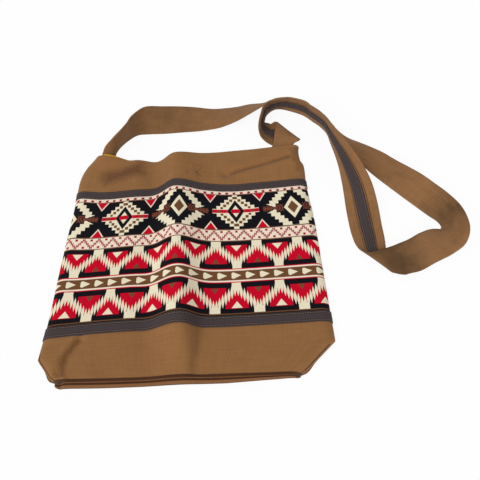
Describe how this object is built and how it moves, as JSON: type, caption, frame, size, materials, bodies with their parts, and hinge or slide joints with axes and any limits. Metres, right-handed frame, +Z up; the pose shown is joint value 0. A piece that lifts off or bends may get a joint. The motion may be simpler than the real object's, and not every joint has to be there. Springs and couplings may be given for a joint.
{
  "type": "crossbody bag",
  "caption": "Flat canvas crossbody bag with a geometric printed front, dark trim tapes and a wide shoulder strap, lying on its back.",
  "frame": {"origin": "on the ground, under the middle of the bag, on the flat underside of the back panel", "axes": "+X across the bag towards the side where the strap lies, +Y towards the mouth, +Z up from the ground through the front"},
  "size_m": [0.6042, 0.5091, 0.0464],
  "materials": {
    "canvas": "woven cotton canvas",
    "print": "printed woven cotton",
    "tape": "ribbed cotton tape, stitched along both edges",
    "lining": "plain cotton lining",
    "steel": "plain magnetic snap"
  },
  "bodies": {
    "root": {"front_top_band": "canvas", "front_print_panel": "print", "front_base_band": "canvas", "trim_tape_top": "tape", "trim_tape_bottom": "tape", "back_panel": "canvas", "base_panel": "canvas", "lining_front": "lining", "lining_back": "lining", "shoulder_strap": "canvas", "strap_tape": "tape", "snap_socket": "steel", "snap_stud": "steel"}
  },
  "joints": []
}
